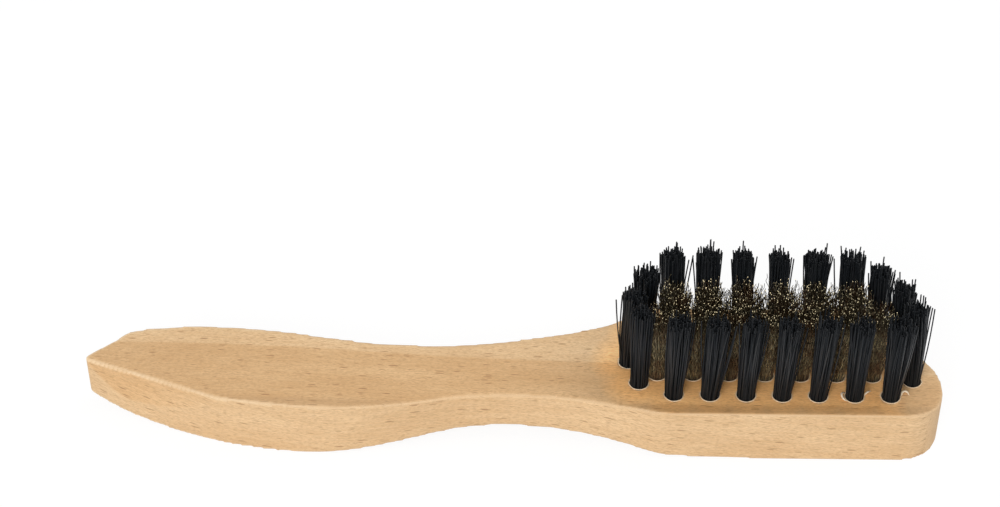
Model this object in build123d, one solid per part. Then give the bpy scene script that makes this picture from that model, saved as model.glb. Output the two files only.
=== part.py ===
"""Suede brush: a one-piece beech stock with staple-set tufts of black nylon and brass wire.

The brush lies on its back. X runs from the handle tip to the head, Z points up out of the
bristle face, and the origin lies on the resting plane under the middle of the length.
Side A is the edge at -Y and side B the edge at +Y. Millimetres throughout.
"""
from build123d import *
from math import cos, radians, sin, sqrt, tan
import os

# Stock, seen from above: the head
body_length = 170.0
head_length = 54.0          # from the head end to where the sides draw in
head_width = 29.3
corner_radius = 8.0         # corner of side A
nose_reach = 13.3           # from the edge of side A to where the swept end begins
nose_radius = 9.0
sweep_run = 15.4            # length of the swept corner of side B along the head
sweep_radius = 10.6

# Stock, seen from above: the handle, measured out from the middle of the head
waist_reach_a = 9.0
waist_reach_b = 4.4
palm_reach_a = 14.6
palm_reach_b = 8.4
waist_a_share = 0.276       # of the handle's length, counted from the shoulder
waist_b_share = 0.422
palm_a_share = 0.595
palm_b_share = 0.836
nose_angle = 30.0           # at which side A leaves the tip
nose_length = 5.0
steep_angle = 40.0          # short flat of the tip, side B
steep_length = 11.5
palm_leave_angle = 11.4     # at which side B leaves the short flat of the tip
tip_radius = 1.2

# Each pair is a share of the run between two stations and a share of the step in reach
neck_a_shares = ((0.15, 0.20), (0.38, 0.60), (0.72, 0.93))
neck_b_shares = ((0.13, 0.17), (0.22, 0.40), (0.36, 0.60), (0.62, 0.83))
swell_a_shares = ((0.25, 0.13), (0.50, 0.51), (0.80, 0.91))
swell_b_shares = ((0.20, 0.08), (0.45, 0.45), (0.70, 0.83))
nose_turn_shares = ((0.25, 0.095), (0.52, 0.305), (0.82, 0.69))

# Stock, seen from the side: heights above the resting plane
head_thickness = 11.5
waist_top = 11.3
palm_top = 12.4
tip_top = 11.5
waist_arch = 2.8            # the back clears the table here
tip_lift = 4.0              # of the back, past the tip by the overrun
arch_start_share = 0.30     # of the head's length, counted from the shoulder
arch_peak_share = 0.30      # of the handle's length, counted from the shoulder
palm_rest_shares = (0.66, 0.77)
top_dip_share = 0.32
palm_top_share = 0.74

# Dished bristle face: two bands rise outwards from a flat middle strip
near_fold = 11.3            # from the middle of the head
near_band_angle = 15.6
far_fold_tip = 4.9
far_fold_end = -2.6
far_band_angle = 6.5

# Flat planed along the top of the tip, side A
taper_angle = 22.7
taper_lean = 10.0           # outwards on the way down

# Tuft holes
hole_diameter = 3.7
hole_floor = 3.0            # wood left under a hole
tuft_pitch = 7.08
edge_margin = 6.15          # from the head's sides to the outer rows
row_count = 4               # two outer rows of black, two inner rows of brass
end_margin = 10.4           # from the head end to the last hole of the long row
near_row_count = 7
far_row_count = 6
inner_row_count = 7
inner_row_step_share = 0.44  # of the pitch, by which the first inner row is staggered
head_end_shares = ((0.66, 0.78), (0.37, 1.71), (-0.28, 2.49))
neck_end_shares = ((-0.96, 0.55), (-1.24, 1.61), (-0.80, 2.49))

# Tufts
root_clearance = 0.05
root_sides = 12             # the packed filaments take the bore's shape roughly
root_sink = 0.45            # from the wood's face down to the packed root
nylon_trim = 32.2           # height of the trimmed ends above the resting plane
brass_trim = 29.3
nylon_width = 0.40          # of a four-sided strand
brass_width = 0.30          # of a three-sided strand
nylon_sides = 4
brass_sides = 3
nylon_count = 13
brass_count = 11
pack_radius = 1.36
spread_ratio = 1.75         # how far a tuft opens from its root to its ends
border_lean = 1.4           # of the ends of the border's tufts
near_lean_shares = (0.25, -1.0)
far_lean_shares = (-0.2, 1.0)
head_end_lean_shares = ((-0.8, -0.65), (-1.0, -0.7), (-0.35, 0.0))
neck_end_lean_shares = ((-0.3, -1.4), (0.5, -1.65), (0.15, -0.9))
golden_angle = 137.508

# Staples: flat wire driven across the foot of each tuft
staple_length = 4.4
staple_height = 1.5
staple_gauge = 0.5
staple_seat = 0.9           # bend of the tuft under the staple
staple_clearance = 0.04

overrun = 6.0               # how far the cutting solids stand past the stock

# Places worked out from the sizes above
x_end = body_length / 2
x_tip = -body_length / 2
head_side = head_width / 2
x_shoulder = x_end - head_length
handle_length = body_length - head_length
row_spacing = (head_width - 2 * edge_margin) / (row_count - 1)
half_point = radians(nose_angle + steep_angle) / 2
lean_of_point = radians(steep_angle - nose_angle) / 2
x_point = x_tip + tip_radius - tip_radius * cos(lean_of_point) / sin(half_point)
root_radius = hole_diameter / 2 - root_clearance


def station(share):
    """X of a place on the handle, as a share of its length from the shoulder."""
    return x_shoulder - handle_length * share


def between(start, end, shares):
    """Points on the way from start to end, each a share along X and a share across."""
    return [(start[0] + (end[0] - start[0]) * run, start[1] + (end[1] - start[1]) * step)
            for run, step in shares]


def plan_outline():
    """The stock seen from above: a swept head, a drawn-in waist and a pointed palm."""
    point = (x_point, 0)
    nose_start = (x_point + nose_length * cos(radians(nose_angle)),
                  -nose_length * sin(radians(nose_angle)))
    steep_end = (x_point + steep_length * cos(radians(steep_angle)),
                 steep_length * sin(radians(steep_angle)))
    shoulder_a = (x_shoulder, -head_side)
    shoulder_b = (x_shoulder, head_side)
    waist_a = (station(waist_a_share), -waist_reach_a)
    waist_b = (station(waist_b_share), waist_reach_b)
    palm_a = (station(palm_a_share), -palm_reach_a)
    palm_b = (station(palm_b_share), palm_reach_b)

    head = FilletPolyline(shoulder_a, (x_end, -head_side), (x_end, nose_reach - head_side),
                          (x_end - sweep_run, head_side), shoulder_b,
                          radius=[corner_radius, nose_radius, sweep_radius])
    side_a = Spline(shoulder_a, *between(shoulder_a, waist_a, neck_a_shares), waist_a,
                    *between(waist_a, palm_a, swell_a_shares), palm_a,
                    *between(palm_a, nose_start, nose_turn_shares), nose_start,
                    tangents=[(-1, 0), (-cos(radians(nose_angle)), sin(radians(nose_angle)))])
    tip = FilletPolyline(nose_start, point, steep_end, radius=tip_radius)
    side_b = Spline(steep_end, palm_b, *reversed(between(waist_b, palm_b, swell_b_shares)), waist_b,
                    *reversed(between(shoulder_b, waist_b, neck_b_shares)), shoulder_b,
                    tangents=[(cos(radians(palm_leave_angle)), sin(radians(palm_leave_angle))), (1, 0)])
    return make_face(Curve() + [head, side_a, tip, side_b])


def fold_line(x):
    """Where the far band leaves the middle strip, as a place along Y."""
    run = (x - x_tip) / body_length
    return far_fold_tip + (far_fold_end - far_fold_tip) * run


def face_height(x, y):
    """Height of the bristle face on the head, where the middle strip is level."""
    rise_near = max(0, -y - near_fold) * tan(radians(near_band_angle))
    rise_far = max(0, y - fold_line(x)) * tan(radians(far_band_angle))
    return head_thickness + rise_near + rise_far


def under_surface(slope, lift):
    """Everything below the top profile when that profile is swept along Y at a slope.

    lift(x) is how far the swept surface stands above the strip on the line y = 0.
    """
    def on_profile(x, z):
        return (x, z + lift(x))

    high_end = on_profile(x_end + overrun, head_thickness)
    shoulder = on_profile(x_shoulder, head_thickness)
    dip = on_profile(station(top_dip_share), waist_top)
    palm = on_profile(station(palm_top_share), palm_top)
    low_end = on_profile(x_tip - overrun, tip_top)
    level_tilt = (lift(x_end) - lift(x_tip)) / body_length
    tip_tilt = level_tilt + (palm_top - tip_top) / handle_length
    handle = Spline(shoulder, dip, palm, low_end, tangents=[(-1, -level_tilt), (-1, -tip_tilt)])
    foot = -head_width
    profile = Plane.XZ * make_face(Curve() + [
        Line(high_end, shoulder), handle, Line(low_end, (low_end[0], foot)),
        Line((low_end[0], foot), (high_end[0], foot)), Line((high_end[0], foot), high_end)])
    start = Pos(0, -head_width, -head_width * slope) * profile
    return extrude(start, amount=2 * head_width * sqrt(1 + slope * slope), dir=(0, 1, slope))


def above_back():
    """Everything above the back: flat head, arched waist, flat palm and a lifted tip."""
    x_arch = x_shoulder + head_length * arch_start_share
    palm_near, palm_far = [station(share) for share in palm_rest_shares]
    roof = 2 * head_width
    x_far = x_tip - overrun
    back = [Line((x_end + overrun, 0), (x_arch, 0)),
            Spline((x_arch, 0), (station(arch_peak_share), waist_arch), (palm_near, 0),
                   tangents=[(-1, 0), (-1, 0)]),
            Line((palm_near, 0), (palm_far, 0)),
            TangentArc((palm_far, 0), (x_far, tip_lift), tangent=(-1, 0)),
            Line((x_far, tip_lift), (x_far, roof)),
            Line((x_far, roof), (x_end + overrun, roof)),
            Line((x_end + overrun, roof), (x_end + overrun, 0))]
    profile = Plane.XZ * make_face(Curve() + back)
    return extrude(Pos(0, -head_width, 0) * profile, amount=2 * head_width, dir=(0, 1, 0))


def tuft_places():
    """Hole centres: the black border first, then the two inner rows of brass."""
    low, high = edge_margin - head_side, head_side - edge_margin
    x_last = x_end - end_margin
    x_first = x_last - tuft_pitch * (near_row_count - 1)
    near = [(x_first + tuft_pitch * i, low) for i in range(near_row_count)]
    head_end = [(x_last + tuft_pitch * along, low + row_spacing * across)
                for along, across in head_end_shares]
    far = [(x_first + tuft_pitch * i, high) for i in reversed(range(far_row_count))]
    neck_end = [(x_first + tuft_pitch * along, low + row_spacing * across)
                for along, across in reversed(neck_end_shares)]
    stagger = tuft_pitch * inner_row_step_share
    inner = [(x_first - stagger + tuft_pitch * i, low + row_spacing) for i in range(inner_row_count)]
    inner += [(x_first + tuft_pitch * i, high - row_spacing) for i in range(inner_row_count - 1)]
    return near + head_end + far + neck_end, inner


def border_leans():
    """How far the ends of each border tuft stand off its hole, in the order of the border."""
    shares = [near_lean_shares] * near_row_count + [*head_end_lean_shares]
    shares += [far_lean_shares] * far_row_count + [*reversed(neck_end_lean_shares)]
    return [(border_lean * along, border_lean * across) for along, across in shares]


def staple_block(place, spare):
    """A staple's body, or with spare its seat in the wood and in the tuft."""
    x, y = place
    z = hole_floor + staple_seat + staple_height / 2
    return Pos(x, y, z) * Box(staple_length + 2 * spare, staple_gauge + 2 * spare,
                              staple_height + 2 * spare)


def make_stock(places):
    """The beech body, shaped, planed at the tip, bored and slotted for the staples."""
    slope_near, slope_far = tan(radians(near_band_angle)), tan(radians(far_band_angle))
    face = (under_surface(0, lambda x: 0)
            + under_surface(-slope_near, lambda x: -near_fold * slope_near)
            + under_surface(slope_far, lambda x: -fold_line(x) * slope_far))
    blank = extrude(plan_outline(), amount=2 * head_thickness, dir=(0, 0, 1))
    stock = blank & face & above_back()

    # The planed flat stands on its edge along the tip and leans back over the stock
    waste = Pos(0, -head_width / 2, 0) * Box(2 * body_length, head_width, 4 * head_thickness)
    stock -= Pos(x_point, 0, tip_top) * Rot(0, 0, -taper_angle) * Rot(-taper_lean, 0, 0) * waste

    holes = [Pos(x, y, hole_floor) * Cylinder(hole_diameter / 2, head_width,
             align=(Align.CENTER, Align.CENTER, Align.MIN)) for x, y in places]
    slots = [staple_block(place, staple_clearance) for place in places]
    return stock - holes - slots


def make_tuft(place, trim, width, sides, count, lean):
    """A folded bundle: its root fills the hole and its strands fan out to the trim line."""
    x, y = place
    root_top = face_height(x, y) - root_sink
    root = extrude(Pos(x, y, hole_floor) * RegularPolygon(root_radius, root_sides),
                   amount=root_top - hole_floor)
    strands = []
    for k in range(count):
        angle = radians(golden_angle * k)
        radius = pack_radius * sqrt((k + 0.5) / count)
        across, along = radius * cos(angle), radius * sin(angle)
        foot = Vector(x + across, y + along, root_top - root_sink)
        end = Vector(x + across * spread_ratio + lean[0], y + along * spread_ratio + lean[1], trim)
        section = Pos(foot) * Rot(0, 0, golden_angle * k) * RegularPolygon(width / 2, sides, False)
        strands.append(extrude(section, amount=(end - foot).length, dir=end - foot))
    return root + strands - staple_block(place, staple_clearance)


os.makedirs("parts", exist_ok=True)
border, inner = tuft_places()
export_step(make_stock(border + inner), "parts/stock.step")
for number, (place, lean) in enumerate(zip(border, border_leans()), 1):
    tuft = make_tuft(place, nylon_trim, nylon_width, nylon_sides, nylon_count, lean)
    export_step(tuft, f"parts/nylon_tuft_{number:02d}.step")
for number, place in enumerate(inner, 1):
    tuft = make_tuft(place, brass_trim, brass_width, brass_sides, brass_count, (0, 0))
    export_step(tuft, f"parts/brass_tuft_{number:02d}.step")
export_step(Compound([staple_block(place, 0) for place in border + inner]), "parts/staples.step")
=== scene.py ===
# %% [markdown]
# # A suede brush
#
# The brush is one length of beech with tufts set in drilled holes. A border of black
# nylon stands round two inner rows of shorter, crimped brass wire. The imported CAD
# model gives every place and size, and this script gives the brush its finish: wood
# grain, soft edges, single filaments and the light that it is seen in.

# %% The frame
import math
import random

import bmesh
import bpy
import numpy
from mathutils import Matrix, Vector


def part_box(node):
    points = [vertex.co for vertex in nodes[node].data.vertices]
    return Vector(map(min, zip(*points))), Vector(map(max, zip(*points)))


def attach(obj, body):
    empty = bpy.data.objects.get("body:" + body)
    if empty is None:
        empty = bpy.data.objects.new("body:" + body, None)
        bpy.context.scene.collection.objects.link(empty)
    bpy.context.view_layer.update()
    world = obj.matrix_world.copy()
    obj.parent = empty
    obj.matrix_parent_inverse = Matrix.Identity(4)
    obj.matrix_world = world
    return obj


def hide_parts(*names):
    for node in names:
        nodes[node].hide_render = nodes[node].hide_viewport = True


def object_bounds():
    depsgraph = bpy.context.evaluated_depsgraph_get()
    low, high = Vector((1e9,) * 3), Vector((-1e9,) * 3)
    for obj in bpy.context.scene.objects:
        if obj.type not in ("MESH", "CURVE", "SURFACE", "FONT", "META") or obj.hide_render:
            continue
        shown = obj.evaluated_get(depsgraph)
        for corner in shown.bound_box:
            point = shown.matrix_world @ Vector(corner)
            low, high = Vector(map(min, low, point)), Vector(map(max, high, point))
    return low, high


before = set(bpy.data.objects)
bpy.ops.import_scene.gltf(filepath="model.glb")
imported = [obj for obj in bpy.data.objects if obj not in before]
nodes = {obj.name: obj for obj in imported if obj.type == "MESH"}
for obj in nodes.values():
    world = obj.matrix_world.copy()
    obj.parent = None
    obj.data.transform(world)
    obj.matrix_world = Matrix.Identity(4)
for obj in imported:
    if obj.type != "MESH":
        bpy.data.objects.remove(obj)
cad_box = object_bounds()
mm = 0.001
print("CAD nodes:", len(nodes), "box:", [list(corner) for corner in cad_box])

# %% [markdown]
# ## Camera
#
# The photograph looks down on the bristle face from the side of the handle that is
# cut in most. A long lens keeps the two ends of the brush nearly the same size. The
# camera is set by where it stands, the point on the table that it looks at, and a
# slight roll.

# %% Camera
camera_place = Vector((4.3, -328.1, 329.7)) * mm
camera_target = Vector((-3.0, 45.9, 0.0)) * mm
camera_roll = math.radians(-0.19)
focal_length = 82.4          # Blender takes this and the sensor's width in millimetres
sensor_width = 36.0


def placed(name, data):
    """An object with that mesh, curve, lamp or lens, in the scene."""
    piece = bpy.data.objects.new(name, data)
    bpy.context.scene.collection.objects.link(piece)
    return piece


def aimed(place, target):
    """The turn that points a camera or a lamp at its target."""
    return (target - place).to_track_quat("-Z", "Y").to_matrix()


def add_camera():
    """The camera of the photograph, also the scene's active camera."""
    lens = bpy.data.cameras.new("camera")
    lens.lens = focal_length
    lens.sensor_width = sensor_width
    camera = placed("camera", lens)
    turn = aimed(camera_place, camera_target) @ Matrix.Rotation(camera_roll, 3, "Z")
    camera.matrix_world = Matrix.Translation(camera_place) @ turn.to_4x4()
    bpy.context.scene.camera = camera
    return camera


print("camera:", add_camera().matrix_world.translation)

# %% [markdown]
# ## Node trees as expressions
#
# Materials and Geometry Nodes are both trees of nodes. Writing each node and link by
# hand hides the idea, so a small class wraps a socket and lets Python's own operators
# add the Math nodes. Every other node comes from one method, `add`.


# %% Sockets that can be added and multiplied
class Value:
    """An output socket. Arithmetic on it adds the Math node that works it out."""

    def __init__(self, graph, socket):
        self.graph = graph
        self.socket = socket

    def __add__(self, other):
        return self.graph.maths("ADD", self, other)

    def __radd__(self, other):
        return self.graph.maths("ADD", other, self)

    def __sub__(self, other):
        return self.graph.maths("SUBTRACT", self, other)

    def __rsub__(self, other):
        return self.graph.maths("SUBTRACT", other, self)

    def __mul__(self, other):
        return self.graph.maths("MULTIPLY", self, other)

    def __rmul__(self, other):
        return self.graph.maths("MULTIPLY", other, self)

    def __truediv__(self, other):
        return self.graph.maths("DIVIDE", self, other)

    def __pow__(self, other):
        return self.graph.maths("POWER", self, other)

    def sine(self):
        return self.graph.maths("SINE", self)

    def cosine(self):
        return self.graph.maths("COSINE", self)

    def at_most(self, limit):
        return self.graph.maths("MINIMUM", self, limit)

    def output(self, key):
        """Another output of the same node."""
        return Value(self.graph, self.socket.node.outputs[key])


class Graph:
    """A node tree, of a material or of Geometry Nodes."""

    def __init__(self, tree):
        self.tree = tree

    def add(self, kind, settings=None, inputs=None, output=0):
        """Adds a node: its settings first, then the values or links of its sockets."""
        node = self.tree.nodes.new(kind)
        for name, setting in (settings or {}).items():
            setattr(node, name, setting)
        for key, term in (inputs or {}).items():
            if isinstance(term, Value):
                self.tree.links.new(term.socket, node.inputs[key])
            else:
                node.inputs[key].default_value = term
        return Value(self, node.outputs[output]) if len(node.outputs) else node

    def maths(self, operation, *terms):
        return self.add("ShaderNodeMath", {"operation": operation}, dict(enumerate(terms)))

    def vector(self, operation, *terms):
        return self.add("ShaderNodeVectorMath", {"operation": operation}, dict(enumerate(terms)))

    def scaled(self, term, factor):
        return self.add("ShaderNodeVectorMath", {"operation": "SCALE"}, {0: term, "Scale": factor})

    def combine(self, x, y, z):
        return self.add("ShaderNodeCombineXYZ", {}, {0: x, 1: y, 2: z})

    def component(self, term, axis):
        """X, Y or Z of a vector."""
        return self.add("ShaderNodeSeparateXYZ", {}, {0: term}, output=axis)

    def ramp(self, term, low, high):
        """0 below low, 1 above high and a soft step between them."""
        return self.add("ShaderNodeMapRange", {"interpolation_type": "SMOOTHSTEP"},
                        {"Value": term, "From Min": low, "From Max": high})


# %% [markdown]
# ## The tuft field
#
# Each tuft of the CAD model is a plain bundle of thick strands. Its foot says where
# the hole is, its top how far the tuft leans and how high it is trimmed. Reading those
# from the frame keeps the fine filaments in the right holes if the layout changes.

# %% Holes, read from the CAD tufts
foot_skin = 0.05 * mm        # this near to the foot of a tuft counts as its foot
top_skin = 0.5 * mm          # and this near to its top as its trimmed end
root_reach = 1.9 * mm        # a tuft's solid root lies this near to the axis of its hole
root_ceiling = 15.0 * mm     # and ends below this height, above which its strands end
root_sink = 0.45 * mm        # from the hole's mouth down to the top of the root


def middle(points):
    """The middle of the box round some points."""
    low = Vector([min(point[axis] for point in points) for axis in range(3)])
    high = Vector([max(point[axis] for point in points) for axis in range(3)])
    return (low + high) / 2


def read_tuft(name):
    """Where a tuft is rooted, where its trimmed end is and how high its hole's mouth is."""
    low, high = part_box(name)
    points = [vertex.co for vertex in nodes[name].data.vertices]
    root = middle([point for point in points if point.z < low.z + foot_skin])
    top = middle([point for point in points if point.z > high.z - top_skin])
    root_points = [point for point in points
                   if (point - root).xy.length < root_reach and point.z < root_ceiling]
    mouth = max(point.z for point in root_points) + root_sink
    return {"name": name, "root": root, "top": top, "mouth": mouth}


nylon_tufts = [read_tuft(name) for name in sorted(nodes) if name.startswith("nylon_tuft")]
brass_tufts = [read_tuft(name) for name in sorted(nodes) if name.startswith("brass_tuft")]
tufts = nylon_tufts + brass_tufts
print("tufts:", len(nylon_tufts), "black and", len(brass_tufts), "brass")
print("first black tuft:", nylon_tufts[0])

# %% [markdown]
# ## Helpers for materials
#
# Every finish starts from the plain Principled shader, and what changes over a surface
# is linked into its sockets. Marks that a mesh carries, such as how far a point lies
# along its filament, come in as attributes, which stay on the mesh in any other scene.


# %% Helpers for materials
def plain_material(name):
    """A new material, its graph and its shader."""
    material = bpy.data.materials.new(name)
    material.use_nodes = True
    return material, Graph(material.node_tree), material.node_tree.nodes["Principled BSDF"]


def drive(graph, shader, looks):
    """Links each named socket of the shader to the value that changes over the surface."""
    for key, value in looks.items():
        graph.tree.links.new(value.socket, shader.inputs[key])


def mixed(graph, factor, first, second, blend="MIX"):
    """The first colour, and as much of the second over it as the factor says."""
    # Sockets 6 and 7 are the two colours, because 1 to 5 belong to other types of data
    return graph.add("ShaderNodeMix", {"data_type": "RGBA", "blend_type": blend},
                     {0: factor, 6: first, 7: second}, output=2)


def attribute(graph, name, output="Fac"):
    """A mark that the mesh carries, as a number or as a vector."""
    return graph.add("ShaderNodeAttribute", {"attribute_name": name}, output=output)


def stretched_noise(graph, place, length, width, detail, seed):
    """Noise whose blobs are as long along X as length and as wide as width."""
    spot = graph.vector("MULTIPLY", place, (1 / length, 1 / width, 1 / width))
    spot = graph.vector("ADD", spot, (seed, seed, seed))
    return graph.add("ShaderNodeTexNoise", {}, {"Vector": spot, "Scale": 1.0, "Detail": detail})


def dress(piece, material):
    """Gives a piece that material and no other."""
    piece.data.materials.clear()
    piece.data.materials.append(material)


# %% [markdown]
# ## Beech
#
# Steamed beech is a warm, pale tan. What marks it out is the rays: short dark dashes,
# one to three millimetres long, that all run along the grain. Between them the wood has
# fine pores and faint, wavy year rings. The material works in the coordinates of the
# block, stretched along X. On the two long sides the depth into the wood is left out,
# because rays are thin plates and show as dashes on a slanted side too.

# %% Sizes and colours of the wood
grain_turn = (0.0, math.radians(-3.5), math.radians(1.5))    # the grain runs out of the sides
# Each noise has the length and width of its blobs, its detail and its seed
ring_noise = (40 * mm, 9 * mm, 2.0, 3.0)
patch_noise = (30 * mm, 6 * mm, 3.0, 11.0)
streak_noise = (7 * mm, 0.36 * mm, 3.0, 7.0)
fibre_noise = (1.8 * mm, 0.16 * mm, 2.0, 15.0)
pore_noise = (0.8 * mm, 0.15 * mm, 1.0, 5.0)
ring_width = 2.3 * mm
ring_wander = 4.2 * mm
ring_tilt = (0.55, 0.85)     # how fast the rings go by across the block and up through it
# Rays and dashes have the length and width of a cell, and the fleck's radius as a share of it
ray_flecks = (4.8 * mm, 0.64 * mm, 0.205)
dash_flecks = (2.4 * mm, 0.42 * mm, 0.26)
fleck_least = 0.35           # the smallest fleck, as a share of that radius,
fleck_most = 1.30            # and the largest
fleck_blur = 0.45
relief_depth = 0.06 * mm

pale_wood = (0.90, 0.645, 0.375, 1)
tan_wood = (0.74, 0.485, 0.250, 1)
ring_brown = (0.70, 0.43, 0.21, 1)
fibre_brown = (0.50, 0.29, 0.13, 1)
pore_brown = (0.48, 0.27, 0.13, 1)
dash_brown = (0.42, 0.22, 0.10, 1)
ray_brown = (0.38, 0.19, 0.08, 1)
# Pale wear on the rubbed edges, with a painted highlight over it
wear_and_highlight_colour = (0.98, 0.77, 0.51, 1)
torn_wood = (0.98, 0.86, 0.66, 1)
# Painted shade, which darkens the bristle face and the flat on the tip's side
painted_shade_tint = (0.92, 0.845, 0.745, 1)     # the two tints multiply the colour under them
# Painted warm bounce light, which reddens the wood among the tufts
painted_bounce_tint = (1.34, 1.18, 0.93, 1)

# %% The beech material
full_turn = 2 * math.pi


def flecks(graph, place, length, width, radius):
    """Lens-shaped flecks along the grain, one in each cell of that length and width."""
    spot = graph.vector("MULTIPLY", place, (1 / length, 1 / width, 1 / width))
    cell = graph.add("ShaderNodeTexVoronoi", {"feature": "F1"}, {"Vector": spot, "Scale": 1.0})
    chosen = graph.component(cell.output("Color"), "X")
    size = radius * (fleck_least + chosen * (fleck_most - fleck_least))
    return graph.ramp(size - cell, 0.0, radius * fleck_blur)


def year_rings(graph, place):
    """0 to 1 across each year of growth, squared to keep the dark part of it narrow."""
    warp = stretched_noise(graph, place, *ring_noise)
    across, up = graph.component(place, "Y"), graph.component(place, "Z")
    years = (across * ring_tilt[0] + up * ring_tilt[1] + warp * ring_wander) / ring_width
    return ((years * full_turn).sine() * 0.5 + 0.5) ** 2.0


def beech():
    """Pale, bare beech with rays, pores and rings."""
    material, graph, shader = plain_material("bare_beech")
    place = graph.add("ShaderNodeVectorRotate", {"rotation_type": "EULER_XYZ"},
                      {"Vector": attribute(graph, "grain_place", "Vector"), "Rotation": grain_turn})
    rings = year_rings(graph, place)
    patches = stretched_noise(graph, place, *patch_noise)
    streaks = stretched_noise(graph, place, *streak_noise)
    fibres = stretched_noise(graph, place, *fibre_noise)
    pores = stretched_noise(graph, place, *pore_noise)
    rays = flecks(graph, place, *ray_flecks)
    dashes = flecks(graph, place, *dash_flecks)

    tone = graph.ramp(patches * 0.3 + streaks * 0.25 + fibres * 0.45, 0.38, 0.62)
    colour = mixed(graph, tone, tan_wood, pale_wood)
    for strength, brown in ((rings * 0.12, ring_brown),
                            (graph.ramp(fibres, 0.46, 0.64) * 0.42, fibre_brown),
                            (graph.ramp(pores, 0.50, 0.64) * 0.40, pore_brown),
                            (dashes * 0.36, dash_brown),
                            (rays * 0.72, ray_brown)):
        colour = mixed(graph, strength, colour, brown)
    # Painted shade darkens the upward faces and the flat on the tip's side
    colour = mixed(graph, attribute(graph, "milled") * 0.9, colour, painted_shade_tint, "MULTIPLY")
    # Painted warm bounce light reddens the wood among the tufts
    colour = mixed(graph, attribute(graph, "ruddy"), colour, painted_bounce_tint, "MULTIPLY")
    # Rubbed edges: pale wear with a painted highlight, which fades towards the head
    colour = mixed(graph, attribute(graph, "worn") * 0.7, colour, wear_and_highlight_colour)
    colour = mixed(graph, attribute(graph, "torn"), colour, torn_wood)

    relief = streaks * 0.35 + pores * 0.25 - rays * 0.4
    bump = graph.add("ShaderNodeBump", {}, {"Height": relief, "Distance": relief_depth, "Strength": 0.5})
    drive(graph, shader, {"Base Color": colour, "Normal": bump, "Roughness": 0.62 + tone * 0.08})
    return material


beech_wood = beech()
print("material:", beech_wood.name)

# %% [markdown]
# ## The stock
#
# The CAD body has knife-sharp edges, and sanded wood has none. A bevel would need clean
# edges to follow, and this body is cut by slanted folds and thirty-two bores. A voxel
# remesh sees only the solid, so it rounds every edge alike, and a little smoothing
# finishes it as sandpaper would. The slots of the staples are hardly wider than a voxel
# and would come out ragged, so plugs close the foot of each bore first.

# %% The stock, with sanded edges
merge_distance = 0.001 * mm
plug_radius = 2.7 * mm
plug_depth = 0.5 * mm        # below the foot of the tuft
plug_top = 5.8 * mm          # above the slots, and far below the bores' mouths
plug_sides = 24
voxel = 0.395 * mm
sanding_strength = 0.5
sanding_passes = 2


def solid_stock():
    """The CAD body as one mesh, with the foot of each bore plugged."""
    body = bmesh.new()
    body.from_mesh(nodes["stock"].data)
    bmesh.ops.remove_doubles(body, verts=body.verts, dist=merge_distance)
    for tuft in tufts:
        low = tuft["root"].z - plug_depth
        place = Vector((tuft["root"].x, tuft["root"].y, (low + plug_top) / 2))
        bmesh.ops.create_cone(body, cap_ends=True, segments=plug_sides, radius1=plug_radius,
                              radius2=plug_radius, depth=plug_top - low, matrix=Matrix.Translation(place))
    mesh = bpy.data.meshes.new("wooden_stock")
    body.to_mesh(mesh)
    body.free()
    return mesh


def finished(piece, name):
    """The piece with its modifiers worked in, as a plain object of that name."""
    graph = bpy.context.evaluated_depsgraph_get()
    mesh = bpy.data.meshes.new_from_object(piece.evaluated_get(graph), depsgraph=graph)
    mesh.name = name
    bpy.data.objects.remove(piece)
    return placed(name, mesh)


def make_stock():
    """The wooden body: remeshed first, and sanded once it is plain voxels."""
    piece = placed("rough_stock", solid_stock())
    remesh = piece.modifiers.new("voxels", "REMESH")
    remesh.mode = "VOXEL"
    remesh.voxel_size = voxel
    remesh.use_smooth_shade = True
    piece = finished(piece, "rough_stock")
    sanding = piece.modifiers.new("sanding", "SMOOTH")
    sanding.factor = sanding_strength
    sanding.iterations = sanding_passes
    return finished(piece, "wooden_stock")


stock = make_stock()
dress(stock, beech_wood)
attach(stock, "root")
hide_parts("stock")
print("stock faces:", len(stock.data.polygons))

# %% [markdown]
# ## Marks on the wood
#
# Wood shows how it was worked, and some light and shade is painted onto it. Sharp edges
# are rubbed pale and carry a painted highlight. The bristle face and the flat on the tip's
# side are darkened with painted shade, and the wood among the tufts gets a painted warm
# bounce light, which makes it a shade redder than the handle. Marks painted by hand would
# have to be painted anew for each change of shape, so these are worked out from the
# surface and stored on its vertices, where the material reads them. The edge mark is how
# sharply the surface turns. The shade mark is the bristle face up to its far fold, and
# the flat planed on the tip's side. The bounce mark is the wood round the bores.

# %% Marks on the wood
# A pair is where a mark starts to show and where it is full
wear_and_highlight_turn = (math.radians(14), math.radians(36))    # of the surface, from one voxel to the next
highlight_fade_run = (0.0, 0.30)     # share of the length, over which the edges lose their wear and painted highlight
highlight_fade_share = 0.85          # and how much of them they lose
facing_up = (0.80, 0.95)     # height of the normals
painted_shade_run = (0.0, 1 / 3)    # share of the length, over which the painted shade on the face deepens
painted_shade_tip = 0.75            # how dark it is at the tip
far_fold_tip = 4.9 * mm      # from the middle to the band of the far side, at the handle's tip
far_fold_end = -2.6 * mm     # and at the head's end
fold_blur = 0.4 * mm
flat_lean = (0.06, 0.12)     # height of the planed flat's normal, while the side's is level
flat_run = (-58.0 * mm, -74.0 * mm)
near_side = -0.5             # across the brush, from which a normal faces the flat's side
painted_bounce_reach = (8.0 * mm, 4.0 * mm)      # round the middle of each bore
painted_bounce_end = (77.5 * mm, 73.5 * mm)      # the wood past the last tufts is plain again
sideways = (0.55, 0.80)      # of a normal, to either side


def read_vectors(items, key):
    """One vector of each vertex or normal, as an array with a row for each."""
    flat = numpy.empty(3 * len(items))
    items.foreach_get(key, flat)
    return flat.reshape(-1, 3)


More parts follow.
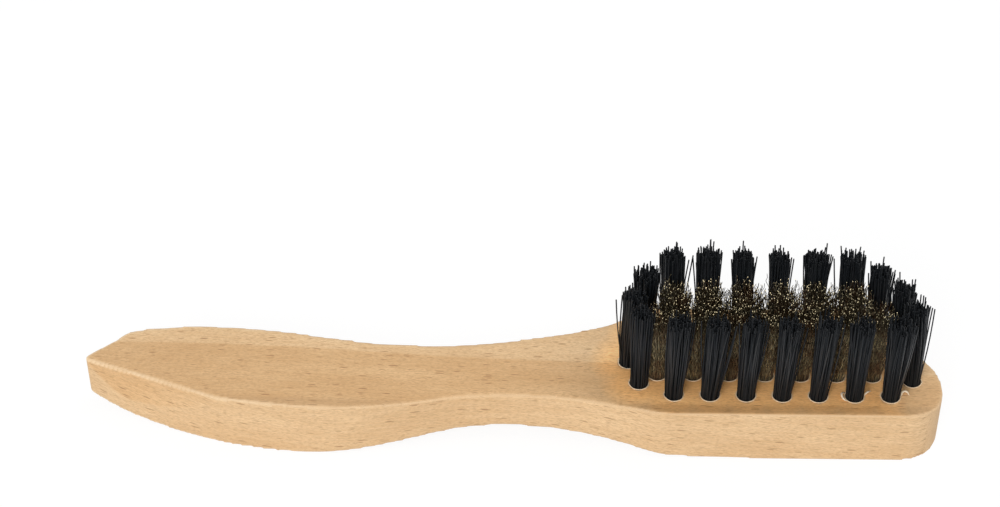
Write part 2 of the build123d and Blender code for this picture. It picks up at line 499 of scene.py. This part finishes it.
def mark(mesh, name, values):
    """Stores a number or a vector for each vertex."""
    values = numpy.asarray(values, dtype="float32")
    kind, key = ("FLOAT", "value") if values.ndim == 1 else ("FLOAT_VECTOR", "vector")
    mesh.attributes.new(name, kind, "POINT").data.foreach_set(key, values.ravel())


def share(values, start, full):
    """0 before start, 1 after full and an even slope between them."""
    return numpy.clip((values - start) / (full - start), 0, 1)


# %% Working the marks out
def surface_turn(mesh, normals):
    """The largest angle between each vertex's normal and those of its neighbours."""
    ends = numpy.empty(2 * len(mesh.edges), dtype="int32")
    mesh.edges.foreach_get("vertices", ends)
    first, second = ends.reshape(-1, 2).T
    turn = numpy.arccos(numpy.clip(numpy.sum(normals[first] * normals[second], axis=1), -1, 1))
    sharpest = numpy.zeros(len(normals))
    numpy.maximum.at(sharpest, first, turn)
    numpy.maximum.at(sharpest, second, turn)
    return sharpest


def milled(places, normals, run, level):
    """The bristle face up to its far fold, and the planed flat beside the tip, where painted shade darkens
    the wood.
    """
    far_fold = far_fold_tip + (far_fold_end - far_fold_tip) * run
    inside = share(far_fold - places[:, 1], -fold_blur / 2, fold_blur / 2)
    face = inside * level * (painted_shade_tip + (1 - painted_shade_tip) * share(run, *painted_shade_run))
    leaning = share(normals[:, 2], *flat_lean) * (normals[:, 1] < near_side)
    return numpy.maximum(face, leaning * share(places[:, 0], *flat_run))


def ruddy(places, level):
    """The upper face near the bores, where painted warm bounce light reddens the wood."""
    nearest = numpy.full(len(places), numpy.inf)
    for tuft in tufts:
        bore = numpy.array(tuft["root"].xy)
        nearest = numpy.minimum(nearest, numpy.linalg.norm(places[:, :2] - bore, axis=1))
    return numpy.minimum(share(nearest, *painted_bounce_reach), share(places[:, 0], *painted_bounce_end)) * level


def mark_surface(mesh):
    """The marks of the wood's surface, and its place in the block for the grain."""
    places = read_vectors(mesh.vertices, "co")
    normals = read_vectors(mesh.vertex_normals, "vector")
    run = (places[:, 0] - cad_box[0][0]) / (cad_box[1][0] - cad_box[0][0])
    level = share(normals[:, 2], *facing_up)
    turn = surface_turn(mesh, normals)
    print("turn of the sharpest twentieth:", round(math.degrees(numpy.percentile(turn, 95)), 1), "degrees")
    # Pale wear where the surface turns sharply, with a painted highlight that fades towards the head
    mark(mesh, "worn", share(turn, *wear_and_highlight_turn) * (1 - highlight_fade_share * share(run, *highlight_fade_run)))
    # The faces that point up, and the tip's flat, get painted shade
    mark(mesh, "milled", milled(places, normals, run, level))
    # The upper face near the bores gets painted warm bounce light
    mark(mesh, "ruddy", ruddy(places, level))
    places[:, 1] *= 1 - share(abs(normals[:, 1]), *sideways)
    mark(mesh, "grain_place", places)


mark_surface(stock.data)

# %% [markdown]
# ## Filaments
#
# A tuft is a bundle of filaments, bent double under a staple and packed into its hole.
# In the hole they are parallel. Above the mouth nothing holds them, so they open like
# a fan and end at the trimmed height. Nylon is straight and a little bowed, and brass
# wire is crimped into waves. One Geometry Nodes tree makes both: it turns each hole
# into a sunflower of points, stands a line on each point and bends the lines by rule.


# %% Opening and closing a tree
def open_tree(name, inputs, result):
    """A tree with those inputs: its graph, its input node and its sockets' identifiers."""
    tree = bpy.data.node_groups.new(name, "GeometryNodeTree")
    ids = {}
    for key, kind in inputs.items():
        item = tree.interface.new_socket(key, in_out="INPUT", socket_type="NodeSocket" + kind)
        ids[key] = item.identifier
    tree.interface.new_socket(result, in_out="OUTPUT", socket_type="NodeSocketGeometry")
    graph = Graph(tree)
    return graph, graph.add("NodeGroupInput", output="Holes"), ids


def close_tree(graph, mesh, spent, material):
    """Drops the attributes that only the tree needed, and ends it as a plain mesh."""
    for name in spent:
        mesh = graph.add("GeometryNodeRemoveAttribute", {}, {"Geometry": mesh, "Name": name})
    mesh = graph.add("GeometryNodeSetShadeSmooth", {}, {"Geometry": mesh})
    mesh = graph.add("GeometryNodeRealizeInstances", {}, {"Geometry": mesh})
    mesh = graph.add("GeometryNodeSetMaterial", {}, {"Geometry": mesh, "Material": material})
    graph.add("NodeGroupOutput", {}, {0: mesh})


def stored(graph, geometry, name, kind, value):
    """The geometry with a value kept on each of its points under that name."""
    return graph.add("GeometryNodeStoreNamedAttribute", {"data_type": kind, "domain": "POINT"},
                     {"Geometry": geometry, "Name": name, "Value": value})


def named(graph, name, kind):
    """The value that was stored under that name."""
    return graph.add("GeometryNodeInputNamedAttribute", {"data_type": kind}, {"Name": name})


def chance(graph, seed, low=0.0, high=1.0):
    """A random number for each element, between low and high."""
    # Sockets 2 and 3 are the limits of a number, because 0 and 1 are those of a vector
    return graph.add("FunctionNodeRandomValue", {"data_type": "FLOAT"},
                     {2: low, 3: high, "Seed": seed}, output=1)


# %% Feet, tips and heights
golden_turn = math.radians(137.508)
foot_jitter = 0.9            # radians round the hole
# A high power of a random number is nearly always close to 0, so few filaments are odd
loose_power = 3.0            # some stand loose,
wild_power = 30.0            # very few stand far out
stray_power = 14.0           # and a few are too long


def filament_points(graph, given):
    """One point for each filament, laid out in its hole like the seeds of a sunflower."""
    seed = given.output("Seed")
    points = graph.add("GeometryNodeMeshToPoints", {}, {"Mesh": given})
    centre = graph.add("GeometryNodeInputPosition")
    points = stored(graph, points, "centre", "FLOAT_VECTOR", centre)
    points = graph.add("GeometryNodeDuplicateElements", {"domain": "POINT"},
                       {"Geometry": points, "Amount": given.output("Filaments")})
    order = points.output("Duplicate Index")
    turn = order * golden_turn + chance(graph, seed, 0.0, foot_jitter)
    reach = ((order + 0.5) / given.output("Filaments")) ** 0.5 * given.output("Bundle radius")
    foot = graph.combine(turn.cosine() * reach, turn.sine() * reach, 0.0)
    loose = chance(graph, seed + 1) ** loose_power + chance(graph, seed + 6) ** wild_power
    scatter = loose * given.output("Tip scatter")
    aim = chance(graph, seed + 2, 0.0, full_turn)
    tip = graph.scaled(foot, given.output("Opening") * named(graph, "opening", "FLOAT"))
    tip = graph.vector("ADD", tip, named(graph, "lean", "FLOAT_VECTOR"))
    tip = graph.vector("ADD", tip, graph.combine(aim.cosine() * scatter, aim.sine() * scatter, 0.0))
    trim = (chance(graph, seed + 3) - 1.0) * given.output("Uneven trim")
    trim = trim + chance(graph, seed + 4) ** stray_power * given.output("Stray length")
    height = named(graph, "top", "FLOAT") + trim
    tone = chance(graph, seed + 5)
    for name, kind, value in (("foot", "FLOAT_VECTOR", foot), ("tip", "FLOAT_VECTOR", tip),
                              ("height", "FLOAT", height), ("aim", "FLOAT", aim), ("tone", "FLOAT", tone)):
        points = stored(graph, points, name, kind, value)
    return points


# %% Bent lines
crimp_onset = 6.0            # the crimp is full at a sixth of the free length
# A filament's own angle times these numbers keeps it unlike its neighbours
crimp_shift = 0.6            # where its wave starts
crimp_turns = 7.0            # which way its wave faces
bow_turns = 3.0              # which way it bows


def filament_lines(graph, given, points):
    """A line on each point, parallel in the hole and opening above the mouth."""
    line = graph.add("GeometryNodeCurvePrimitiveLine", {}, {"Start": (0, 0, 0), "End": (0, 0, 1)})
    line = graph.add("GeometryNodeResampleCurve", {}, {"Curve": line, "Count": given.output("Points")})
    lines = graph.add("GeometryNodeInstanceOnPoints", {}, {"Points": points, "Instance": line})
    lines = graph.add("GeometryNodeRealizeInstances", {}, {"Geometry": lines})
    along = graph.add("GeometryNodeSplineParameter", output="Factor")
    lines = stored(graph, lines, "along", "FLOAT", along)

    base = named(graph, "centre", "FLOAT_VECTOR")
    base_height = graph.component(base, "Z")
    height = named(graph, "height", "FLOAT")
    level = base_height + along * (height - base_height)
    free = graph.ramp(level, named(graph, "mouth", "FLOAT"), height)
    free.socket.node.interpolation_type = "LINEAR"
    aim = named(graph, "aim", "FLOAT")
    bow = (free * math.pi).sine() * given.output("Bow")
    wave = level / given.output("Crimp length") * full_turn + aim * crimp_shift
    crimp = wave.sine() * given.output("Crimp depth") * (free * crimp_onset).at_most(1.0)
    crimp_aim, bow_aim = aim * crimp_turns, aim * bow_turns
    bend = graph.combine(crimp_aim.cosine() * crimp + bow_aim.cosine() * bow,
                         crimp_aim.sine() * crimp + bow_aim.sine() * bow, 0.0)
    foot = named(graph, "foot", "FLOAT_VECTOR")
    spread = graph.vector("SUBTRACT", named(graph, "tip", "FLOAT_VECTOR"), foot)
    place = graph.vector("ADD", graph.vector("ADD", foot, graph.scaled(spread, free)), bend)
    upright = graph.vector("ADD", graph.vector("MULTIPLY", base, (1, 1, 0)),
                           graph.combine(0.0, 0.0, level))
    place = graph.vector("ADD", place, upright)
    return graph.add("GeometryNodeSetPosition", {}, {"Geometry": lines, "Position": place})


# %% The tree that fills holes with filaments
filament_inputs = {
    "Holes": "Geometry", "Filaments": "Int", "Thickness": "Float", "Sides": "Int", "Points": "Int",
    "Bundle radius": "Float", "Opening": "Float", "Tip scatter": "Float", "Uneven trim": "Float",
    "Stray length": "Float", "Bow": "Float", "Crimp depth": "Float", "Crimp length": "Float",
    "Seed": "Int", "Material": "Material"}


def filament_tree():
    """A Geometry Nodes group. Its input is a mesh with one vertex for each hole."""
    graph, given, ids = open_tree("filaments", filament_inputs, "Bristles")
    lines = filament_lines(graph, given, filament_points(graph, given))
    section = graph.add("GeometryNodeCurvePrimitiveCircle", {}, {
        "Resolution": given.output("Sides"), "Radius": given.output("Thickness") / 2.0})
    bristles = graph.add("GeometryNodeCurveToMesh", {}, {
        "Curve": lines, "Profile Curve": section, "Fill Caps": True})
    spent = ("centre", "foot", "tip", "height", "aim", "lean", "opening", "top", "mouth")
    close_tree(graph, bristles, spent, given.output("Material"))
    return graph.tree, ids


filaments, filament_ids = filament_tree()
print("filament tree:", len(filaments.nodes), "nodes")

# %% Filling a row of holes
filament_start = plug_top - 0.4 * mm      # inside the plug, so that no foot shows
opening_spread = 0.1         # share by which one tuft opens more or less than another


def hole_mesh(row, jitter, draw):
    """A mesh with a vertex in each hole, which carries the tuft's lean, mouth and trim."""
    mesh = bpy.data.meshes.new("holes")
    mesh.from_pydata([(tuft["root"].x, tuft["root"].y, filament_start) for tuft in row], [], [])
    leans = []
    for tuft in row:
        lean = tuft["top"] - tuft["root"]
        leans.append((lean.x + draw.uniform(-jitter, jitter), lean.y + draw.uniform(-jitter, jitter), 0.0))
    mark(mesh, "lean", leans)
    mark(mesh, "mouth", [tuft["mouth"] for tuft in row])
    mark(mesh, "top", [tuft["top"].z for tuft in row])
    mark(mesh, "opening", [draw.uniform(1 - opening_spread, 1 + opening_spread) for tuft in row])
    return mesh


def grown(name, holes, tree, ids, sizes):
    """What a tree of Geometry Nodes makes of a mesh of holes, as a plain object."""
    piece = placed("holes", holes)
    modifier = piece.modifiers.new("growth", "NODES")
    modifier.node_group = tree
    for key, size in sizes.items():
        modifier[ids[key]] = size
    return finished(piece, name)


def grow_bristles(name, row, jitter, sizes):
    """The filaments of a row of tufts, as one plain mesh that replaces the CAD tufts."""
    holes = hole_mesh(row, jitter, random.Random(sizes["Seed"]))
    bristles = grown(name, holes, filaments, filament_ids, sizes)
    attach(bristles, "root")
    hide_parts(*[tuft["name"] for tuft in row])
    triangles = sum(len(polygon.vertices) - 2 for polygon in bristles.data.polygons)
    print(name + ":", triangles, "triangles")
    return bristles


# %% [markdown]
# ## Torn fibres at the bores
#
# A drill lifts fibres at the mouth of each bore. They stand round the tuft as a thin,
# pale, broken ring, which is a circle pushed about by noise and swept with a small
# section. Two bores of the front row have longer splinters as well.

# %% Burrs round the bores
burr_points = 40
burr_sides = 5
burr_wobble = 2.0            # how much further the ring wanders sideways than up
burr_swell = 2.2             # how much the noise changes its thickness
burr_torn = 0.45
far_band_slope = math.tan(math.radians(6.5))     # of the face beyond its far fold
burr_inputs = {"Holes": "Geometry", "Radius": "Float", "Thickness": "Float", "Unevenness": "Float",
               "Grain": "Float", "Material": "Material"}
burr_sizes = {"Radius": 1.93 * mm, "Thickness": 0.22 * mm, "Unevenness": 0.12 * mm, "Grain": 0.7 * mm,
              "Material": beech_wood}


def burr_tree():
    """A Geometry Nodes group that lays an uneven ring round each hole."""
    graph, given, ids = open_tree("burrs", burr_inputs, "Burrs")
    points = graph.add("GeometryNodeMeshToPoints", {}, {"Mesh": given})
    centre = graph.add("GeometryNodeInputPosition")
    points = stored(graph, points, "centre", "FLOAT_VECTOR", centre)
    ring = graph.add("GeometryNodeCurvePrimitiveCircle", {}, {
        "Resolution": burr_points, "Radius": given.output("Radius")})
    rings = graph.add("GeometryNodeInstanceOnPoints", {}, {"Points": points, "Instance": ring})
    rings = graph.add("GeometryNodeRealizeInstances", {}, {"Geometry": rings})

    place = graph.add("GeometryNodeInputPosition")
    grain = given.output("Grain")
    spot = graph.vector("DIVIDE", place, graph.combine(grain, grain, grain))
    rough = graph.add("ShaderNodeTexNoise", {}, {"Vector": spot, "Scale": 1.0, "Detail": 1.0}) - 0.5
    wander = rough * given.output("Unevenness")
    out = graph.vector("SUBTRACT", place, named(graph, "centre", "FLOAT_VECTOR"))
    rise = graph.component(out, "Y") * named(graph, "slope", "FLOAT")
    shift = graph.scaled(graph.vector("NORMALIZE", out), wander * burr_wobble)
    shift = graph.vector("ADD", shift, graph.combine(0.0, 0.0, rise + wander))
    rings = graph.add("GeometryNodeSetPosition", {}, {"Geometry": rings, "Offset": shift})
    rings = graph.add("GeometryNodeSetCurveRadius", {}, {
        "Curve": rings, "Radius": 1.0 + rough * burr_swell})
    section = graph.add("GeometryNodeCurvePrimitiveCircle", {}, {
        "Resolution": burr_sides, "Radius": given.output("Thickness") / 2.0})
    burrs = graph.add("GeometryNodeCurveToMesh", {}, {"Curve": rings, "Profile Curve": section})
    burrs = stored(graph, burrs, "torn", "FLOAT", burr_torn)
    close_tree(graph, burrs, ("centre", "slope"), given.output("Material"))
    return graph.tree, ids


def make_burrs():
    """The rings of all bores, tilted where the far band of the face is."""
    mesh = bpy.data.meshes.new("mouths")
    mesh.from_pydata([(tuft["root"].x, tuft["root"].y, tuft["mouth"]) for tuft in tufts], [], [])
    mark(mesh, "slope", [far_band_slope if tuft["root"].y > 0 else 0.0 for tuft in tufts])
    return grown("bore_burrs", mesh, *burr_tree(), burr_sizes)


burrs = make_burrs()
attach(burrs, "root")
print("burr faces:", len(burrs.data.polygons))

# %% Splinters
splinter_radius = 0.22 * mm
splinter_ends = (0.7, 0.25)  # thickness of its two ends, as a share of the middle's
splinter_torn = 0.8
# The tuft's place in the list of black tufts, and points from its hole in millimetres
splinter_routes = [
    (5, ((-1.9, 0.9, 0.0), (-2.5, 0.2, 0.5), (-2.3, -0.9, 0.3), (-1.6, -1.5, 0.1))),
    (5, ((1.8, 0.2, 0.0), (2.5, 0.5, 0.6), (3.3, 1.2, 0.3))),
    (6, ((2.1, 0.3, 0.0), (2.5, 1.0, 0.35), (3.2, 1.1, 0.3), (3.7, 0.4, 0.05))),
]


def make_splinters():
    """Curls of torn wood beside bores of the front row, thinner towards their ends."""
    curve = bpy.data.curves.new("splinters", "CURVE")
    curve.dimensions = "3D"
    curve.bevel_depth = splinter_radius
    curve.bevel_resolution = 1
    for number, route in splinter_routes:
        hole = nylon_tufts[number]
        spline = curve.splines.new("BEZIER")
        spline.bezier_points.add(len(route) - 1)
        for point, (along, across, above) in zip(spline.bezier_points, route):
            point.co = Vector((hole["root"].x + along * mm, hole["root"].y + across * mm,
                               hole["mouth"] + above * mm))
            point.handle_left_type = point.handle_right_type = "AUTO"
        spline.bezier_points[0].radius, spline.bezier_points[-1].radius = splinter_ends
    piece = finished(placed("splinters", curve), "splinters")
    mark(piece.data, "torn", numpy.full(len(piece.data.vertices), splinter_torn))
    return piece


splinters = make_splinters()
dress(splinters, beech_wood)
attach(splinters, "root")
print("splinter faces:", len(splinters.data.polygons))

# %% [markdown]
# ## Black nylon
#
# The border is stiff black nylon. Close up it is not a flat black: each filament is
# round and smooth, so it carries a thin grey streak of light along its length. Down in
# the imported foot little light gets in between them, and the streaks fade.

# %% The black border
packed_nylon = (0.0190, 0.0210, 0.0225, 1)
dark_nylon = (0.0125, 0.0150, 0.0180, 1)
grey_nylon = (0.022, 0.024, 0.027, 1)
cut_nylon = (0.006, 0.006, 0.007, 1)


def black_nylon():
    """Near-black, satin filaments, each with a gloss of its own."""
    material, graph, shader = plain_material("nylon_filament")
    tone = attribute(graph, "tone")
    along = attribute(graph, "along")
    free = graph.ramp(along, 0.22, 0.6)
    colour = mixed(graph, tone ** 2.0 * graph.ramp(along, 0.3, 0.8), dark_nylon, grey_nylon)
    colour = mixed(graph, free, packed_nylon, colour)
    colour = mixed(graph, graph.ramp(along, 0.93, 1.0) * 0.35, colour, cut_nylon)
    gloss = free * (1.0 - graph.ramp(along, 0.70, 0.95) * 0.6)
    drive(graph, shader, {"Base Color": colour, "Coat Weight": 0.03 + gloss * (0.12 + tone * 0.68)})
    shader.inputs["Coat Roughness"].default_value = 0.38
    shader.inputs["Roughness"].default_value = 0.6
    shader.inputs["Specular IOR Level"].default_value = 0.08
    return material


nylon_sizes = {
    "Filaments": 140, "Thickness": 0.27 * mm, "Sides": 4, "Points": 8, "Bundle radius": 1.70 * mm,
    "Opening": 1.32, "Tip scatter": 1.4 * mm, "Uneven trim": 1.3 * mm, "Stray length": 2.6 * mm,
    "Bow": 0.25 * mm, "Crimp depth": 0.0, "Crimp length": 2.6 * mm, "Seed": 11,
    "Material": black_nylon()}
border = grow_bristles("nylon_bristles", nylon_tufts, jitter=0.35 * mm, sizes=nylon_sizes)

# %% [markdown]
# ## Brass wire
#
# The inner rows are crimped brass wire, finer and softer than the nylon. Its sides are
# dull and brown, and painted shade darkens them near the top, where the wires shade each
# other. The cut ends shine with a painted highlight and a painted glint that glows. The
# wave of the crimp is what makes a brass tuft look woolly.

# %% The brass rows
dull_brass = (0.145, 0.122, 0.080, 1)
clean_brass = (0.98, 0.84, 0.52, 1)
shaded_brass = (0.065, 0.052, 0.030, 1)
brown_tarnish = (0.17, 0.075, 0.035, 1)
# The cut ends get a painted highlight, and a painted glint that glows in the emission
cut_end_highlight = (1.0, 0.88, 0.56, 1)
glint_brass = (0.95, 0.79, 0.48, 1)
no_glint = (0.0, 0.0, 0.0, 1)
tarnish_noise = (4.0 * mm, 3.0 * mm, 1.0, 2.0)


def brass_wire():
    """Dull wire, tarnished in places, with painted shade near the top and a painted highlight and glint
    where it is cut.
    """
    material, graph, shader = plain_material("crimped_brass")
    tone = attribute(graph, "tone")
    along = attribute(graph, "along")
    cut = graph.ramp(along, 0.992, 0.996) * graph.ramp(tone, 0.30, 0.90)
    shade = graph.ramp(along, 0.80, 0.95)
    place = graph.add("ShaderNodeTexCoord", output="Object")
    tarnish = stretched_noise(graph, place, *tarnish_noise)
    colour = mixed(graph, tone ** 2.6, dull_brass, clean_brass)
    # Painted shade darkens the wires near the top
    colour = mixed(graph, shade * 0.82, colour, shaded_brass)
    colour = mixed(graph, graph.ramp(tarnish, 0.42, 0.68) * 0.55, colour, brown_tarnish)
    colour = mixed(graph, cut, colour, cut_end_highlight)
    # The cut ends are painted bright and less metallic, and glow with a painted glint
    drive(graph, shader, {
        "Base Color": colour, "Metallic": 0.55 + shade * 0.3 - cut * 0.85,
        "Roughness": 0.34 + tone * 0.15,
        "Emission Color": mixed(graph, cut * graph.ramp(tone, 0.80, 0.95), no_glint, glint_brass)})
    shader.inputs["Emission Strength"].default_value = 1.0
    return material


brass_sizes = {
    "Filaments": 265, "Thickness": 0.127 * mm, "Sides": 3, "Points": 28, "Bundle radius": 1.6 * mm,
    "Opening": 2.15, "Tip scatter": 2.4 * mm, "Uneven trim": 2.6 * mm, "Stray length": 1.2 * mm,
    "Bow": 0.4 * mm, "Crimp depth": 0.30 * mm, "Crimp length": 3.1 * mm, "Material": brass_wire()}
first_seed = 31
tufts_in_piece = 4           # so that each piece has fewer than 200,000 triangles
for start in range(0, len(brass_tufts), tufts_in_piece):
    row = brass_tufts[start:start + tufts_in_piece]
    sizes = dict(brass_sizes, Seed=first_seed + start)
    piece = grow_bristles(f"brass_bristles_{start + 1:02d}", row, jitter=0.3 * mm, sizes=sizes)

# %% [markdown]
# ## Staples
#
# A flat steel staple holds each tuft down at the foot of its bore. It is out of sight,
# so the CAD model's own staples are kept and only get a steel finish.

# %% Staples
steel_grey = (0.60, 0.60, 0.62, 1)
steel, _, steel_shader = plain_material("staple_wire")
steel_shader.inputs["Base Color"].default_value = steel_grey
steel_shader.inputs["Metallic"].default_value = 1.0
steel_shader.inputs["Roughness"].default_value = 0.4
dress(nodes["staples"], steel)
print("staples:", len(tufts), "in", steel.name)

# %% [markdown]
# ## Floor and light
#
# A white table and soft studio light. A big soft lamp above and behind the camera is
# the main light. A weaker one, high up beyond the head, and the world fill the shadows.
# For the rays that the camera sees, most of the table's look is an even glow of its
# own, so that it reads as white while the brush still has its shadow there. On the
# brush that glow shows only in reflections.

# %% Floor and light
# The lamps and the table are in metres
table_size = 6.0
table_colour = (0.8, 0.8, 0.8, 1)
white = (1, 1, 1, 1)
table_glow = 1.08            # strength of its own light,
table_share = 0.82           # and how much of its look that is
world_strength = 0.45
lamp_target = Vector((0.02, 0.0, 0.0))


def seen_rays(graph):
    """1 for a ray that the camera sees, also in metal and through glass."""
    rays = graph.add("ShaderNodeLightPath", output="Is Camera Ray")
    return (rays + rays.output("Is Glossy Ray") + rays.output("Is Transmission Ray")).at_most(1.0)


def add_table():
    """The white table, which is no part of the brush."""
    material, graph, shader = plain_material("white_table")
    graph.tree.nodes.remove(shader)
    matte = graph.add("ShaderNodeBsdfDiffuse", {}, {"Color": table_colour})
    glow = graph.add("ShaderNodeEmission", {}, {"Color": white, "Strength": table_glow})
    look = graph.add("ShaderNodeMixShader", {}, {0: seen_rays(graph) * table_share, 1: matte, 2: glow})
    graph.tree.links.new(look.socket, graph.tree.nodes["Material Output"].inputs["Surface"])
    bpy.ops.mesh.primitive_plane_add(size=table_size)
    floor = bpy.context.object
    floor.name = "table"
    dress(floor, material)


def add_lamp(name, place, size, power):
    """A round, soft lamp above the brush."""
    lamp = bpy.data.lights.new(name, "AREA")
    lamp.shape = "DISK"
    lamp.size = size
    lamp.energy = power
    turn = aimed(place, lamp_target).to_4x4()
    placed(name, lamp).matrix_world = Matrix.Translation(place) @ turn


def add_world():
    """An even white room, at full strength for the rays that the camera sees."""
    world = bpy.data.worlds.new("studio")
    bpy.context.scene.world = world
    world.use_nodes = True
    graph = Graph(world.node_tree)
    background = world.node_tree.nodes["Background"]
    background.inputs["Color"].default_value = white
    strength = world_strength + seen_rays(graph) * (1 - world_strength)
    graph.tree.links.new(strength.socket, background.inputs["Strength"])


add_table()
add_lamp("key", place=Vector((-0.30, -0.95, 0.72)), size=0.8, power=8.8)
add_lamp("fill", place=Vector((0.6, 0.3, 0.9)), size=0.9, power=3.0)
add_world()
bpy.context.scene.view_settings.view_transform = "Standard"
